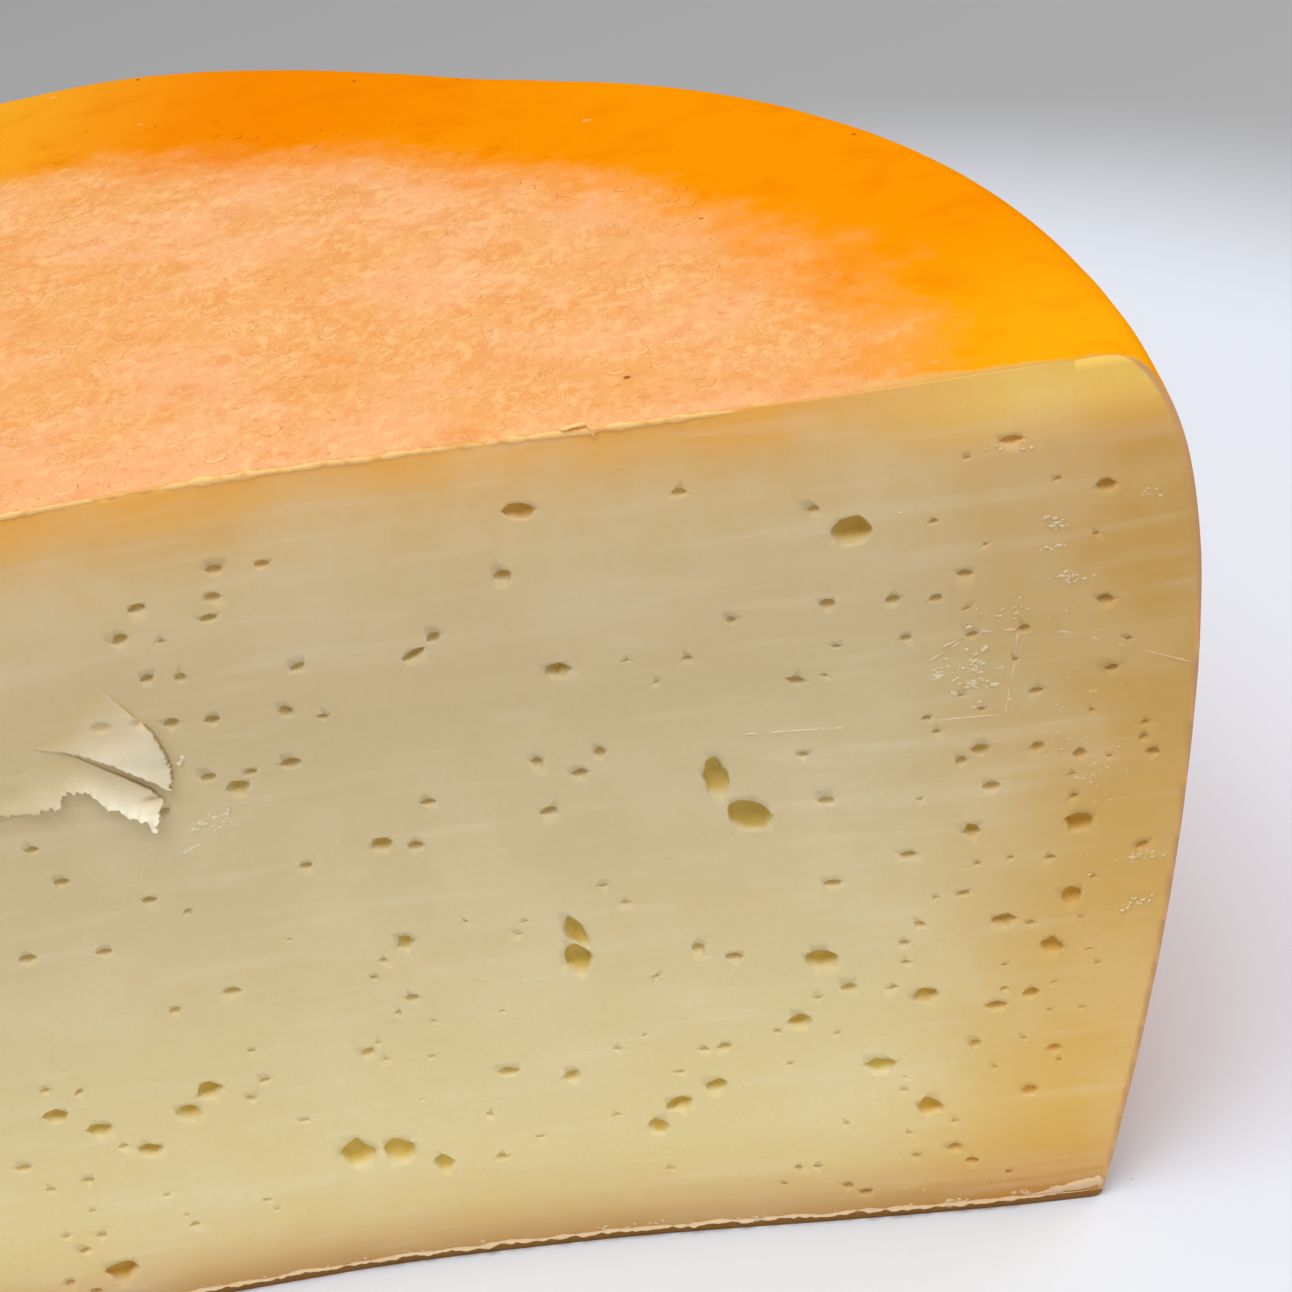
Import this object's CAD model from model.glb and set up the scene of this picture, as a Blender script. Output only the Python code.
"""Looks of half a wheel of goat gouda: its bowed cut, its eyes, its torn flap and its rind."""

import logging
import math
import random
from collections.abc import Callable, Iterable
from dataclasses import dataclass, field
from enum import Enum
from functools import cached_property

import bmesh
import bpy
import numpy as np
from mathutils import Matrix, Vector, noise


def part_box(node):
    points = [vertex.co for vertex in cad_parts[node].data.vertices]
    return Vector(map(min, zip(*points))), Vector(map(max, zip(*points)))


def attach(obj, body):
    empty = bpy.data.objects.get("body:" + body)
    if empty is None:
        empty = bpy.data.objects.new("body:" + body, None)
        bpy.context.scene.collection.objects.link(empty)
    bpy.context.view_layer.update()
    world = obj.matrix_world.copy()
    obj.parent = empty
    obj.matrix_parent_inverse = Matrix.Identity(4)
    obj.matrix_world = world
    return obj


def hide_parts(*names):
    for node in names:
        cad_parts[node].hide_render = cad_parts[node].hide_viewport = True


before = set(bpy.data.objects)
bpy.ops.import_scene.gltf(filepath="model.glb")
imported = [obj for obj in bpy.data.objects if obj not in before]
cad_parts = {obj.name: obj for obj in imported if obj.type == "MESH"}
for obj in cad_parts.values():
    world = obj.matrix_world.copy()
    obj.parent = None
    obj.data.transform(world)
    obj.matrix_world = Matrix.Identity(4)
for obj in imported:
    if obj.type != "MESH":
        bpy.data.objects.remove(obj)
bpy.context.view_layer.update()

log = logging.getLogger("goat gouda")

MM = 0.001
BODY = "root"
NODE = "cheese"

# The noise module takes its offsets from the clock unless it is given a seed
NOISE_SEED = 4

# No crumb or scratch is laid within this share of an eye's width, and one that crosses it dives
EYE_KEPT_CLEAR = 0.6
DIVE = 4 * MM

# How far apart in the noise two neighbouring eyes or crumbs are read
SEED_SPREAD = 31
CRUMB_SEED_SPREAD = 40

Colour = tuple[float, float, float, float]
Spot = tuple[float, float]
Course = tuple[Spot, Spot]
Band = tuple[float, float]
Socket = bpy.types.NodeSocket
Input = Socket | Colour | float


def srgb(red: int, green: int, blue: int) -> Colour:
    """Return a linear colour from the 0 to 255 values of a colour picker.

    Args:
        red: the red value.
        green: the green value.
        blue: the blue value.

    Returns:
        The linear red, green and blue with an alpha of 1.
    """
    linear = []
    for value in (red, green, blue):
        share = value / 255
        linear.append(share / 12.92 if share <= 0.04045 else ((share + 0.055) / 1.055) ** 2.4)
    return linear[0], linear[1], linear[2], 1.0


@dataclass(frozen=True)
class Swelling:
    """A rise or a dip of the rim, by its angle round the wheel and its spread in degrees."""

    angle: float
    spread: float
    height: float


@dataclass(frozen=True)
class Wheel:
    """The wheel's driving dimensions and the surfaces that follow from them."""

    height: float = 100 * MM
    top_radius: float = 147.3 * MM
    base_radius: float = 136.3 * MM
    top_slope: float = math.radians(35)
    top_reach: float = 12 * MM
    base_slope: float = math.radians(73.4)
    base_reach: float = 57.7 * MM
    rim_rounding: float = 2.2 * MM
    base_rounding: float = 1 * MM
    dome: float = 0.9 * MM
    uneven_depth: float = 0.35 * MM
    uneven_size: float = 34 * MM
    uneven_from_height: float = 8 * MM
    ripple_depth: float = 0.07 * MM
    ripple_size: float = 7 * MM
    swelling_starts_at: float = 0.55
    swelling_from_height: float = 0.6
    cut_offset: float = 2.6 * MM
    cut_bow: float = 1.95 * MM
    cut_bow_length: float = 156 * MM
    cut_bow_centre: float = 64 * MM
    side_samples: int = 80
    swellings: tuple[Swelling, ...] = (
        Swelling(angle=77, spread=8, height=1.3 * MM),
        Swelling(angle=55, spread=9, height=-1.6 * MM),
        Swelling(angle=118, spread=11, height=-0.8 * MM),
        Swelling(angle=148, spread=10, height=0.9 * MM),
    )

    def side_point(self, t: float) -> Vector:
        """Return a point of the side.

        Args:
            t: the share of the way, 0 at the rim of the top and 1 at the rim of the base.

        Returns:
            The radius and the height.
        """
        start = Vector((self.top_radius, self.height))
        end = Vector((self.base_radius, 0))
        falls = Vector((math.cos(self.top_slope), -math.sin(self.top_slope)))
        rises = Vector((math.cos(self.base_slope), math.sin(self.base_slope)))
        leave = start + self.top_reach * falls
        arrive = end + self.base_reach * rises
        rest = 1 - t
        return rest**3 * start + 3 * rest**2 * t * leave + 3 * rest * t**2 * arrive + t**3 * end

    def profile(self, top_rings: int, side_steps: int, rounding_steps: int) -> list[Vector]:
        """Return the wheel's half section.

        Args:
            top_rings: how many points the top has.
            side_steps: how many steps the side has.
            rounding_steps: how many steps each rounded corner has.

        Returns:
            Points of radius and height, from the middle of the top to that of the base.
        """
        side = [self.side_point(step / side_steps) for step in range(side_steps + 1)]
        rim, foot = side[0], side[-1]
        upper = next(p for p in side if (p - rim).length > self.rim_rounding)
        lower = next(p for p in reversed(side) if (p - foot).length > self.base_rounding)
        flat_edge = rim - Vector((self.rim_rounding, 0))
        foot_up = foot + self.base_rounding * (lower - foot).normalized()
        foot_in = foot - Vector((self.base_rounding, 0))

        points = []
        for ring in range(top_rings):
            share = ring / top_rings
            points.append(Vector((share * flat_edge.x, self.height + self.dome * (1 - share**2))))
        points += self.rounded_corner(flat_edge, rim, upper, rounding_steps)
        points += side[side.index(upper) + 1:side.index(lower) + 1]
        points += self.rounded_corner(foot_up, foot, foot_in, rounding_steps)
        points.append(Vector((0, 0)))
        return points

    @staticmethod
    def rounded_corner(before: Vector, corner: Vector, after: Vector, steps: int) -> list[Vector]:
        """Return the points of a curve that rounds a corner off.

        Args:
            before: where the curve starts.
            corner: the sharp corner.
            after: where the curve ends.
            steps: how many steps it has.

        Returns:
            The points from before to after.
        """
        points = []
        for step in range(steps + 1):
            t = step / steps
            points.append((1 - t) ** 2 * before + 2 * (1 - t) * t * corner + t**2 * after)
        return points

    def rim_swelling(self, angle: float) -> float:
        """Return how far the rim stands above its plain height at an angle in degrees."""
        return sum(
            s.height * math.exp(-0.5 * ((angle - s.angle) / s.spread) ** 2) for s in self.swellings
        )

    def swollen(self, point: Vector) -> Vector:
        """Return a point of the plain wheel as it is on the uneven one.

        Args:
            point: a point of the turned wheel.

        Returns:
            The point with the rim's swellings and the surface's drift and ripple.
        """
        radius = math.hypot(point.x, point.y)
        angle = math.degrees(math.atan2(point.y, point.x))
        near_rim = (radius / self.top_radius - self.swelling_starts_at) / (1 - self.swelling_starts_at)
        near_top = (point.z / self.height - self.swelling_from_height) / (1 - self.swelling_from_height)
        share = min(max(near_rim, 0), 1) * min(max(near_top, 0), 1)
        above_foot = min(point.z / self.uneven_from_height, 1)
        drift = noise.noise_vector(point / self.uneven_size) * self.uneven_depth
        ripple = noise.noise_vector(point / self.ripple_size) * self.ripple_depth
        rise = Vector((0, 0, share * self.rim_swelling(angle)))
        return point + (drift + ripple) * above_foot + rise

    def on_top(self, x: float, y: float) -> Vector:
        """Return the uneven top's point above a place."""
        share = math.hypot(x, y) / (self.top_radius - self.rim_rounding)
        return self.swollen(Vector((x, y, self.height + self.dome * (1 - share**2))))

    def face_depths(self, x: np.ndarray) -> np.ndarray:
        """Return the cut face's Y at many places along it."""
        wave = np.cos(math.tau * (x - self.cut_bow_centre) / self.cut_bow_length)
        return self.cut_offset + self.cut_bow * wave

    def cut_depth(self, x: float) -> float:
        """Return the cut face's Y at a place along it."""
        wave = math.cos(math.tau * (x - self.cut_bow_centre) / self.cut_bow_length)
        return self.cut_offset + self.cut_bow * wave

    @cached_property
    def side_table(self) -> tuple[np.ndarray, np.ndarray]:
        """Return the side's heights, rising, and the radius at each."""
        steps = self.side_samples
        side = [self.side_point(1 - step / steps) for step in range(steps + 1)]
        return np.array([p.y for p in side]), np.array([p.x for p in side])

    def side_radius(self, heights: np.ndarray) -> np.ndarray:
        """Return the plain wheel's radius at each height."""
        return np.interp(heights, *self.side_table)


@dataclass(frozen=True)
class Eye:
    """A hollow in the cut face: its place, its width and height, and its tilt in degrees."""

    x: float
    z: float
    width: float
    height: float
    tilt: float = 0
    raggedness: float = 0.1
    pointed: float = 0.25


# The eyes that stand out: millimetres from the wheel's axis and its base, then the tilt
LARGE_EYES_MM = (
    (121, 86.5, 3.7, 2.8, 4),
    (91, 93, 3.0, 1.8, 0),
    (104, 61, 2.6, 4.6, 0),
    (106.5, 56, 4.6, 3.6, -20),
    (86.3, 43.5, 2.2, 4.2, 20),
    (86, 40, 3.3, 4.0, 0),
    (56.5, 17.5, 4.2, 3.4, 0),
    (61.2, 17, 3.4, 3.2, 10),
    (65.5, 14.2, 2.0, 2.8, 0),
    (43, 29.6, 3.2, 2.2, 12),
    (40, 27.2, 2.6, 2.0, 0),
    (26, 30, 2.9, 1.8, 0),
    (30, 27, 2.8, 1.8, 0),
    (34.5, 23, 2.7, 2.0, 0),
    (26.5, 6.5, 3.9, 3.0, 0),
    (111, 37, 3.6, 2.2, -6),
    (121, 31, 2.6, 1.9, 0),
    (107.5, 29, 2.6, 1.8, 8),
    (115, 22, 3.4, 1.8, 0),
    (119.5, 15.5, 2.7, 2.6, -14),
    (90, 16, 2.4, 2.2, 0),
    (92.8, 19, 3.4, 1.8, 24),
    (97.2, 21.2, 2.7, 1.7, 16),
    (128, 51, 2.0, 1.8, 0),
    (137, 41.5, 2.0, 2.1, 0),
    (134.5, 35.5, 2.3, 2.1, -8),
    (138.5, 50.5, 2.7, 2.2, 0),
    (130, 39.5, 2.5, 1.6, 0),
    (56.5, 67, 2.3, 1.7, 6),
    (69, 57.5, 2.3, 1.8, 18),
    (91, 75.3, 2.6, 1.6, 0),
    (68.5, 45, 2.0, 1.7, 16),
)

# The smaller eyes that the cut shows plainly, in the same measures
SMALL_EYES_MM = (
    (128, 28.5, 2.4, 1.2, 0),
    (113.5, 46.5, 1.9, 1.0, 0),
    (121.5, 49, 1.7, 1.0, 0),
    (130, 60.5, 1.7, 1.3, 10),
    (128, 59.5, 1.2, 1.1, 14),
    (54, 68.7, 1.7, 1.0, 0),
    (58.3, 68.5, 1.4, 0.8, 8),
    (62.5, 68.8, 2.1, 1.2, 4),
    (63.6, 74.8, 1.5, 1.3, 0),
    (56.2, 75.2, 1.7, 1.0, 0),
    (52.2, 75.6, 1.7, 1.2, 8),
    (51.3, 81, 1.4, 1.0, 20),
    (72.4, 56.8, 1.7, 1.2, 0),
    (74.9, 61.8, 1.7, 0.8, 0),
    (60.8, 56.3, 1.4, 0.9, 0),
    (86.7, 59, 1.9, 1.0, 16),
    (86.8, 65.1, 1.2, 1.1, 0),
    (90.7, 63.2, 1.7, 1.0, 6),
    (93.2, 65.3, 1.3, 1.3, 0),
    (66, 79.5, 1.7, 0.9, 22),
    (77.5, 79, 2.8, 0.9, 26),
    (79.8, 80.6, 1.6, 1.1, 30),
    (88, 86.4, 1.7, 1.2, 0),
    (61, 91.5, 1.7, 1.0, 0),
    (65.6, 91.2, 1.6, 0.9, 0),
    (60, 88.6, 1.7, 1.1, 0),
    (59, 86.4, 1.8, 0.9, 4),
    (52.6, 88.8, 1.9, 1.0, 12),
    (50, 85.8, 1.8, 1.1, 18),
    (135.6, 73.5, 1.2, 0.9, 0),
    (135.5, 60, 1.3, 1.1, 0),
    (139.4, 58.5, 1.2, 1.2, 20),
    (136, 66.4, 1.3, 0.8, 0),
    (124.5, 74.2, 1.1, 0.8, 0),
    (108.5, 78.5, 1.0, 0.9, 0),
    (113.5, 71, 1.8, 1.0, -14),
    (49, 42, 2.0, 1.1, 0),
    (37.6, 50, 1.7, 0.9, 0),
    (29.7, 51, 1.9, 1.1, 0),
    (34.3, 64, 1.5, 0.9, 0),
    (44, 55.4, 1.6, 0.9, 0),
    (82, 24.5, 2.0, 1.4, 30),
    (75.4, 26, 2.4, 1.2, 0),
    (117.7, 79, 1.6, 1.2, 0),
    (136.5, 93.3, 2.2, 0.9, 0),
    (106, 92.6, 1.6, 0.9, 0),
    (114.3, 56.7, 1.6, 1.0, 0),
    (130.8, 80.3, 1.5, 0.8, 0),
)


@dataclass(frozen=True)
class EyeRule:
    """How the small eyes are scattered over the cut face."""

    seed: int = 5
    count: int = 330
    smallest: float = 0.55 * MM
    largest: float = 1.9 * MM
    gap: float = 2.0 * MM
    margin: float = 3.5 * MM
    side_share: float = 0.3
    side_band: float = 24 * MM
    low_share: float = 0.35
    low_band: float = 45 * MM
    small_power: float = 2.2
    flattest: float = 0.5
    roundest: float = 0.85
    mean_tilt: float = 4
    tilt_spread: float = 12
    smoothest: float = 0.05
    roughest: float = 0.14
    far_count: int = 26
    far_end: float = 18 * MM
    far_margin: float = 7 * MM
    far_gap: float = 7 * MM
    far_height: float = 73 * MM
    far_low_power: float = 1.4
    far_smallest: float = 1.8 * MM
    far_growth: float = 2 * MM
    far_flattest: float = 0.55
    far_roundest: float = 0.95
    far_tilt_spread: float = 10

    def draw(self, wheel: Wheel, taken: list[Eye]) -> list[Eye]:
        """Draw the scattered eyes, none of them close to another.

        Args:
            wheel: the wheel whose cut they lie in.
            taken: the eyes that are there already.

        Returns:
            The new eyes alone.
        """
        pick = random.Random(self.seed)
        eyes = self.far_large_eyes(wheel, pick)
        while len(eyes) < self.count:
            place = self.place(wheel, pick)
            size = self.smallest + (self.largest - self.smallest) * pick.random() ** self.small_power
            shape = pick.uniform(self.flattest, self.roundest)
            tilt = pick.gauss(self.mean_tilt, self.tilt_spread)
            rough = pick.uniform(self.smoothest, self.roughest)
            eye = Eye(place.x, place.y, size, size * shape, tilt, rough)
            if self.is_clear(eye, taken + eyes):
                eyes.append(eye)
        return eyes

    def far_large_eyes(self, wheel: Wheel, pick: random.Random) -> list[Eye]:
        """Return larger eyes for the cut's far half, spread as those of the near half.

        Args:
            wheel: the wheel whose cut they lie in.
            pick: the seeded draw.

        Returns:
            The eyes from the cut's left end to just past its middle.
        """
        eyes: list[Eye] = []
        while len(eyes) < self.far_count:
            x = pick.uniform(self.far_margin - wheel.base_radius, self.far_end)
            z = self.far_margin + self.far_height * pick.random() ** self.far_low_power
            width = self.far_smallest + self.far_growth * pick.random() ** 2
            height = width * pick.uniform(self.far_flattest, self.far_roundest)
            eye = Eye(x, z, width, height, pick.gauss(self.mean_tilt, self.far_tilt_spread))
            if all(math.hypot(x - other.x, z - other.z) > self.far_gap for other in eyes):
                eyes.append(eye)
        return eyes

    def place(self, wheel: Wheel, pick: random.Random) -> Vector:
        """Return one random place on the cut, denser near the side and lower down.

        Args:
            wheel: the wheel whose cut it lies in.
            pick: the seeded draw.

        Returns:
            The place along the cut and its height.
        """
        kind = pick.random()
        z = pick.uniform(self.margin, wheel.height - 2 * self.margin)
        if self.side_share < kind < self.side_share + self.low_share:
            z = self.margin + pick.random() * self.low_band
        reach = float(wheel.side_radius(np.array(z))) - self.margin
        x = pick.uniform(-reach, reach)
        if kind < self.side_share:
            x = math.copysign(reach - pick.random() * self.side_band, x)
        return Vector((x, z))

    def is_clear(self, eye: Eye, others: list[Eye]) -> bool:
        """Return whether an eye keeps its distance from the others.

        Args:
            eye: the eye.
            others: the eyes that are there already.

        Returns:
            True where it touches none of them.
        """
        for other in others:
            room = self.gap / 3 + (eye.width + other.width) / 2
            if math.hypot(eye.x - other.x, eye.z - other.z) < room:
                return False
        return True


class Skin(Enum):
    """The half wheel's two surfaces, by their faces' material number."""

    RIND = 0
    PASTE = 1


class Piece:
    """A finished piece: a mesh in the wheel's own frame, moved to its place in the row."""

    def __init__(self, name: str, bm: bmesh.types.BMesh) -> None:
        """Turn a bmesh into an object.

        Args:
            name: the object's name.
            bm: the shape, freed here.
        """
        mesh = bpy.data.meshes.new(name)
        for _ in Skin:
            mesh.materials.append(None)
        bm.to_mesh(mesh)
        bm.free()
        self.obj = bpy.data.objects.new(name, mesh)
        bpy.context.scene.collection.objects.link(self.obj)

    def cut(self, cutter: "Piece") -> None:
        """Cut another piece's shape away and remove it.

        Args:
            cutter: the closed shape to take away.
        """
        modifier = self.obj.modifiers.new("cut", "BOOLEAN")
        modifier.operation = "DIFFERENCE"
        modifier.object = cutter.obj
        modifier.solver = "MANIFOLD"
        evaluated = self.obj.evaluated_get(bpy.context.evaluated_depsgraph_get())
        mesh = bpy.data.meshes.new_from_object(evaluated)
        self.obj.modifiers.clear()
        self.obj.data = mesh
        bpy.data.objects.remove(cutter.obj)

    def corners(self) -> np.ndarray:
        """Return the mesh's points as rows."""
        points = np.empty(len(self.obj.data.vertices) * 3, np.float32)
        self.obj.data.vertices.foreach_get("co", points)
        return points.reshape(-1, 3)

    def mark(self, name: str, values: np.ndarray) -> None:
        """Keep one number for each point, for the materials to read."""
        attribute = self.obj.data.attributes.new(name, "FLOAT", "POINT")
        attribute.data.foreach_set("value", values.astype(np.float32))

    def settle(self, offset: Vector, materials: list[bpy.types.Material]) -> None:
        """Put the piece in its place, smooth it, dress it and tie it to the body.

        Args:
            offset: from the wheel's own frame to the row's frame.
            materials: its finishes, in the order of its faces' material numbers.
        """
        mesh = self.obj.data
        mesh.transform(Matrix.Translation(offset))
        mesh.shade_smooth()
        for number, material in enumerate(materials):
            mesh.materials[number] = material
        while len(mesh.materials) > len(materials):
            mesh.materials.pop()
        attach(self.obj, BODY)
        log.info("%s: %d triangles", self.obj.name, self.triangles())

    def triangles(self) -> int:
        """Return how many triangles the mesh has."""
        self.obj.data.calc_loop_triangles()
        return len(self.obj.data.loop_triangles)


def ragged(bm: bmesh.types.BMesh, seed: Vector, size: float, share: float, grain: float = 0.4) -> None:
    """Push a shape's points about, by a share of its size.

    Args:
        bm: the shape.
        seed: where in the noise it is read, so that no two shapes are alike.
        size: the shape's size.
        share: how far the points go, as a share of the size.
        grain: how coarse the push is, as a share of the size.
    """
    for vertex in bm.verts:
        vertex.co += noise.noise_vector((vertex.co + seed) / (grain * size)) * share * size


def merge(bm: bmesh.types.BMesh, single: bmesh.types.BMesh) -> None:
    """Add a shape to another and free it.

    Args:
        bm: the shape that grows.
        single: the shape that is added.
    """
    mesh = bpy.data.meshes.new("part")
    single.to_mesh(mesh)
    single.free()
    bm.from_mesh(mesh)
    bpy.data.meshes.remove(mesh)


def mark_torn(piece: Piece, wheel: Wheel, torn: float) -> None:
    """Keep what the paste's finish needs on a piece that stands out from the cut.

    Args:
        piece: the piece.
        wheel: the wheel whose cut it is on.
        torn: how pale it is, from 0 to 1.
    """
    points = piece.corners()
    piece.mark("side_depth", wheel.side_radius(points[:, 2]) - np.abs(points[:, 0]))
    piece.mark("hollow", np.zeros(len(points)))
    piece.mark("torn", np.full(len(points), torn))


def in_eye(x: float, z: float, eyes: Iterable[Eye]) -> bool:
    """Return whether a place on the cut is in one of the eyes."""
    return any(math.hypot(x - eye.x, z - eye.z) < EYE_KEPT_CLEAR * eye.width for eye in eyes)


def straight(
    wheel: Wheel, ridge: "Ridge", course: Course, eyes: Iterable[Eye] = ()
) -> bmesh.types.BMesh:
    """Return a ridge that runs straight over the cut face.

    Args:
        wheel: the wheel whose cut it is on.
        ridge: the ridge.
        course: its two ends, each a place along the cut and a height, in millimetres.
        eyes: the eyes that it passes behind.

    Returns:
        A closed shape.
    """
    first, last = (Vector(end) * MM for end in course)

    def path(share: float) -> Vector:
        """Return the place at a share of the way.

        Args:
            share: 0 at the first end and 1 at the last.

        Returns:
            The place, deep inside the cheese where the ridge would cross an eye.
        """
        flat = first.lerp(last, share)
        sunk = DIVE if in_eye(flat.x, flat.y, eyes) else 0
        return Vector((flat.x, wheel.cut_depth(flat.x) + sunk, flat.y))

    return ridge.shape(path, (last - first).length)


@dataclass
class HalfWheel:
    """The half wheel itself, with its rind, its cut and its eyes."""

    wheel: Wheel
    rule: EyeRule = field(default_factory=EyeRule)
    top_rings: int = 66
    side_steps: int = 46
    rounding_steps: int = 5
    turn_steps: int = 440
    cut_columns: int = 290
    cut_rows: int = 104
    cut_margin: float = 12 * MM
    relief_depth: float = 0.16 * MM
    relief_size: float = 16 * MM
    streak_depth: float = 0.045 * MM
    streak_height: float = 1.9 * MM
    streak_length: float = 30 * MM
    eye_depth: float = 0.64
    eye_proud: float = 0.12
    low_lip: float = 0.55
    flare_reach: float = 0.26
    point_power: float = 1.5
    grain: float = 0.55
    large_raggedness: float = 0.2
    eye_room: float = 0.75
    eye_meshes: tuple[tuple[float, int, int], ...] = ((2.4 * MM, 26, 16), (1.1 * MM, 18, 10), (0, 12, 8))

    def build(self) -> Piece:
        """Return the half wheel, cut and hollowed."""
        body = self.turned_wheel()
        body.cut(self.knife())
        for group in self.eye_groups():
            body.cut(self.eye_cutters(group))
        self.mark_depths(body)
        return body

    def turned_wheel(self) -> Piece:
        """Return the whole wheel, spun from its half section and made uneven."""
        bm = bmesh.new()
        section = self.wheel.profile(self.top_rings, self.side_steps, self.rounding_steps)
        corners = [bm.verts.new((point.x, 0, point.y)) for point in section]
        edges = [bm.edges.new(pair) for pair in zip(corners, corners[1:])]
        bmesh.ops.spin(
            bm, geom=corners + edges, cent=(0, 0, 0), axis=(0, 0, 1), angle=math.tau,
            steps=self.turn_steps, use_merge=True,
        )
        bmesh.ops.remove_doubles(bm, verts=bm.verts, dist=0.01 * MM)
        for vertex in bm.verts:
            vertex.co = self.wheel.swollen(vertex.co)
        bmesh.ops.recalc_face_normals(bm, faces=bm.faces)
        return Piece("half_wheel", bm)

    def knife(self) -> Piece:
        """Return the block that takes the front half away, bowed and streaked as a blade cuts."""
        half_width = self.wheel.top_radius + self.cut_margin
        half_height = self.wheel.height / 2 + self.cut_margin
        bm = bmesh.new()
        upright = Matrix.Rotation(math.pi / 2, 4, "X") @ Matrix.Diagonal((half_width, half_height, 1, 1))
        placed = Matrix.Translation((0, 0, self.wheel.height / 2)) @ upright
        bmesh.ops.create_grid(
            bm, x_segments=self.cut_columns, y_segments=self.cut_rows, size=1, matrix=placed
        )
        bowed = list(bm.verts)
        front = bmesh.ops.extrude_face_region(bm, geom=list(bm.faces))
        flat = [item for item in front["geom"] if isinstance(item, bmesh.types.BMVert)]
        bmesh.ops.translate(bm, verts=flat, vec=(0, -2 * half_width, 0))
        for vertex in bowed:
            vertex.co.y = self.cut_surface(vertex.co.x, vertex.co.z)
        for face in bm.faces:
            face.material_index = Skin.PASTE.value
        bmesh.ops.recalc_face_normals(bm, faces=bm.faces)
        return Piece("knife", bm)

    def cut_surface(self, x: float, z: float) -> float:
        """Return the Y of the cut face with its relief and its streaks.

        Args:
            x: the place along the cut.
            z: the height.

        Returns:
            The face's Y.
        """
        broad = noise.noise(Vector((x, 0, z)) / self.relief_size) * self.relief_depth
        streak = noise.noise(Vector((x / self.streak_length, 7, z / self.streak_height)))
        return self.wheel.cut_depth(x) + broad + streak * self.streak_depth

    def eyes(self) -> list[Eye]:
        """Return every eye, those that stand out first."""
        rough = self.large_raggedness
        placed = [Eye(x * MM, z * MM, w * MM, h * MM, t, rough) for x, z, w, h, t in LARGE_EYES_MM]
        placed += [Eye(x * MM, z * MM, w * MM, h * MM, t) for x, z, w, h, t in SMALL_EYES_MM]
        return placed + self.rule.draw(self.wheel, placed)

    def eye_groups(self) -> list[list[Eye]]:
        """Return the eyes in groups whose members don't touch."""
        groups: list[list[Eye]] = []
        for eye in self.eyes():
            for group in groups:
                if all(self.apart(eye, other) for other in group):
                    group.append(eye)
                    break
            else:
                groups.append([eye])
        return groups

    def apart(self, eye: Eye, other: Eye) -> bool:
        """Return whether two eyes are well clear of each other."""
        reach = self.eye_room * (max(eye.width, eye.height) + max(other.width, other.height))
        return math.hypot(eye.x - other.x, eye.z - other.z) > reach

    def eye_cutters(self, eyes: list[Eye]) -> Piece:
        """Return the shapes that hollow a group of eyes out.

        Args:
            eyes: eyes that don't touch each other.

        Returns:
            One piece with a closed shape for each eye.
        """
        bm = bmesh.new()
        for eye in eyes:
            merge(bm, self.eye_shape(eye))
        for face in bm.faces:
            face.material_index = Skin.PASTE.value
        return Piece("eyes", bm)

    def eye_shape(self, eye: Eye) -> bmesh.types.BMesh:
        """Return one eye's hollow: an uneven cup with a flared mouth.

        Args:
            eye: the eye.

        Returns:
            A closed shape in its place.
        """
        sides, rings = next(counts for over, *counts in self.eye_meshes if eye.width > over)
        bm = bmesh.new()
        facing = Matrix.Rotation(math.pi / 2, 4, "X")
        bmesh.ops.create_uvsphere(bm, u_segments=sides, v_segments=rings, radius=1, matrix=facing)
        for vertex in bm.verts:
            near_mouth = math.exp(-((vertex.co.y / self.flare_reach) ** 2))
            lip = self.low_lip * max(0, -vertex.co.z)
            pointed = 1 - eye.pointed * abs(vertex.co.x) ** self.point_power
            vertex.co.z *= pointed * (1 + lip * near_mouth)
        depth = self.eye_depth * math.sqrt(eye.width * eye.height)
        size = Vector((eye.width / 2, depth, eye.height / 2))
        bmesh.ops.scale(bm, verts=bm.verts, vec=size)
        seed = Vector((eye.x, 0, eye.z)) * SEED_SPREAD
        levels = [vertex.co.y for vertex in bm.verts]
        ragged(bm, seed, min(eye.width, eye.height), eye.raggedness, self.grain)
        for vertex, level in zip(bm.verts, levels):
            vertex.co.y = level - self.eye_proud * depth
        turn = Matrix.Rotation(-math.radians(eye.tilt), 4, "Y")
        place = Matrix.Translation((eye.x, self.wheel.cut_depth(eye.x), eye.z))
        bmesh.ops.transform(bm, matrix=place @ turn, verts=bm.verts)
        bmesh.ops.recalc_face_normals(bm, faces=bm.faces)
        return bm

    def mark_depths(self, body: Piece) -> None:
        """Keep how deep each point lies under the side and behind the cut face.

        Args:
            body: the half wheel.
        """
        points = body.corners()
        x, y, z = points.T
        body.mark("side_depth", self.wheel.side_radius(z) - np.hypot(x, y))
        body.mark("hollow", y - self.wheel.face_depths(x))


@dataclass(frozen=True)
class Cloud:
    """Cloudy noise: the size of its lumps, its finer layers, and the soft step it is read through."""

    size: float
    layers: float = 2
    roughness: float = 0.5
    low: float = 0.0
    high: float = 1.0
    least: float = 0.0
    most: float = 1.0
    bent: float = 0.0
    stretch: tuple[float, float, float] | None = None


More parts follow.
